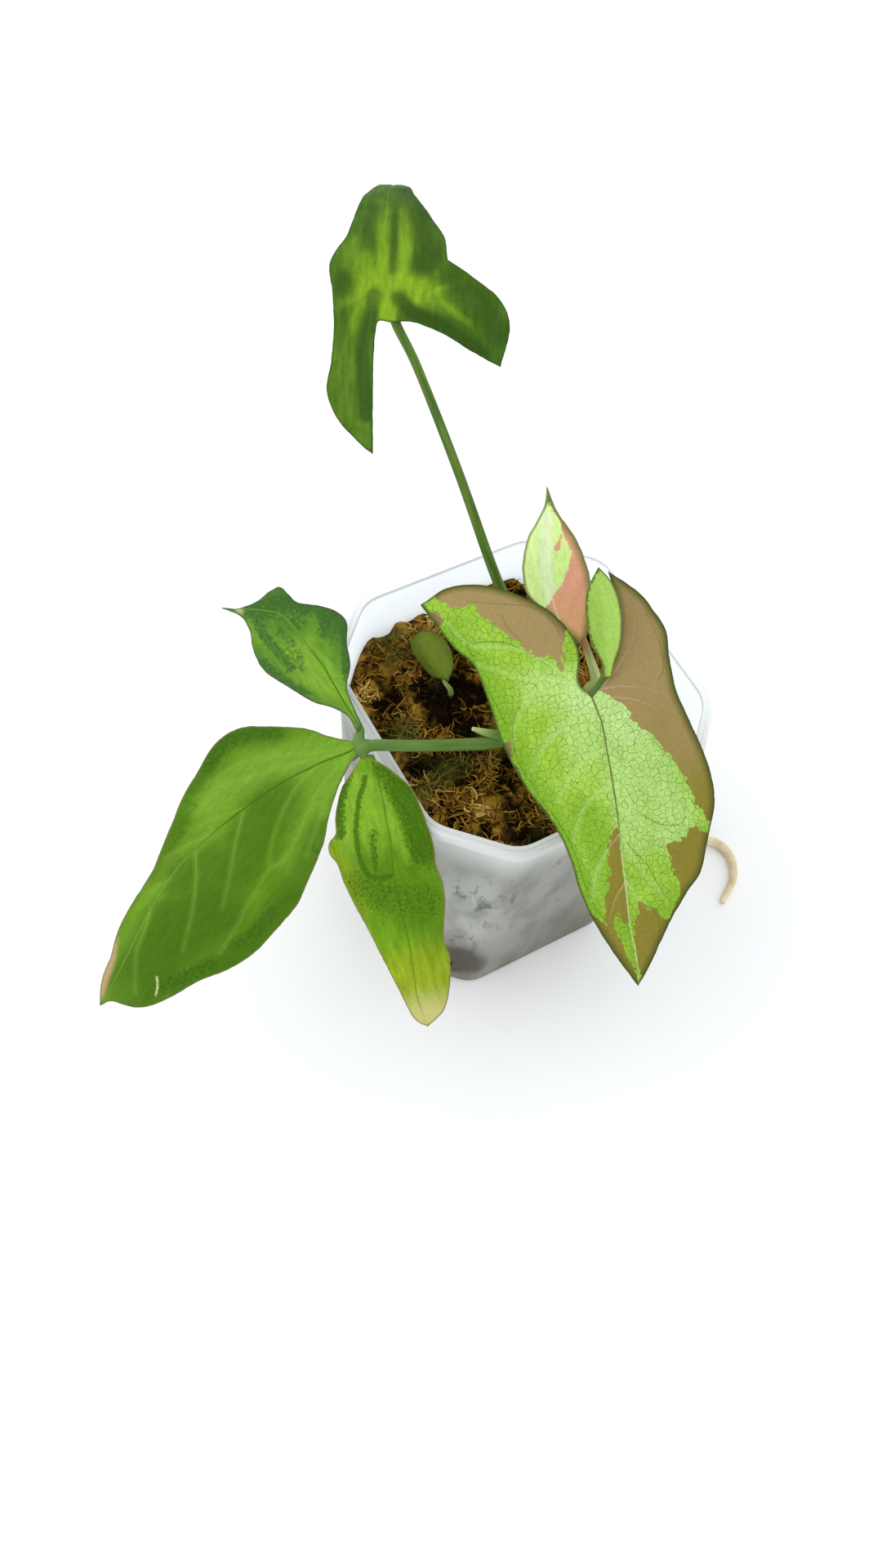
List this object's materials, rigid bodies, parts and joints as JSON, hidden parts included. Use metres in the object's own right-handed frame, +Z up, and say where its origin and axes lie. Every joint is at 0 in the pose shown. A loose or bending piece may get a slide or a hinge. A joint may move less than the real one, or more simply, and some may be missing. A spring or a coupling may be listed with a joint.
{
  "type": "arrowhead plant",
  "caption": "Potted arrowhead plant: variegated arrow-shaped and three-part leaves on petioles, rooted in moss in a square pot with cut corners.",
  "frame": {"origin": "middle of the pot's flat underside", "axes": "+Z up; the pot's flat sides lie along X and Y; the three-part leaf reaches out over the -X side"},
  "size_m": [0.2118, 0.1853, 0.1991],
  "materials": {
    "milky_plastic": "milky, slightly see-through",
    "moss_brown": "fibrous",
    "stem_green": "satin",
    "leaf_dark_green": "satin",
    "leaf_lime": "satin",
    "leaf_mid_green": "satin",
    "leaf_pale": "satin",
    "leaf_seedling_green": "matt",
    "root_tan": "matt"
  },
  "bodies": {
    "root": {"pot": "milky_plastic", "moss": "moss_brown", "stem": "stem_green", "leaf_tall": "leaf_dark_green", "leaf_front": "leaf_lime", "leaf_left": "leaf_mid_green", "leaf_back": "leaf_pale", "leaf_seedling": "leaf_seedling_green", "root": "root_tan"}
  },
  "joints": []
}
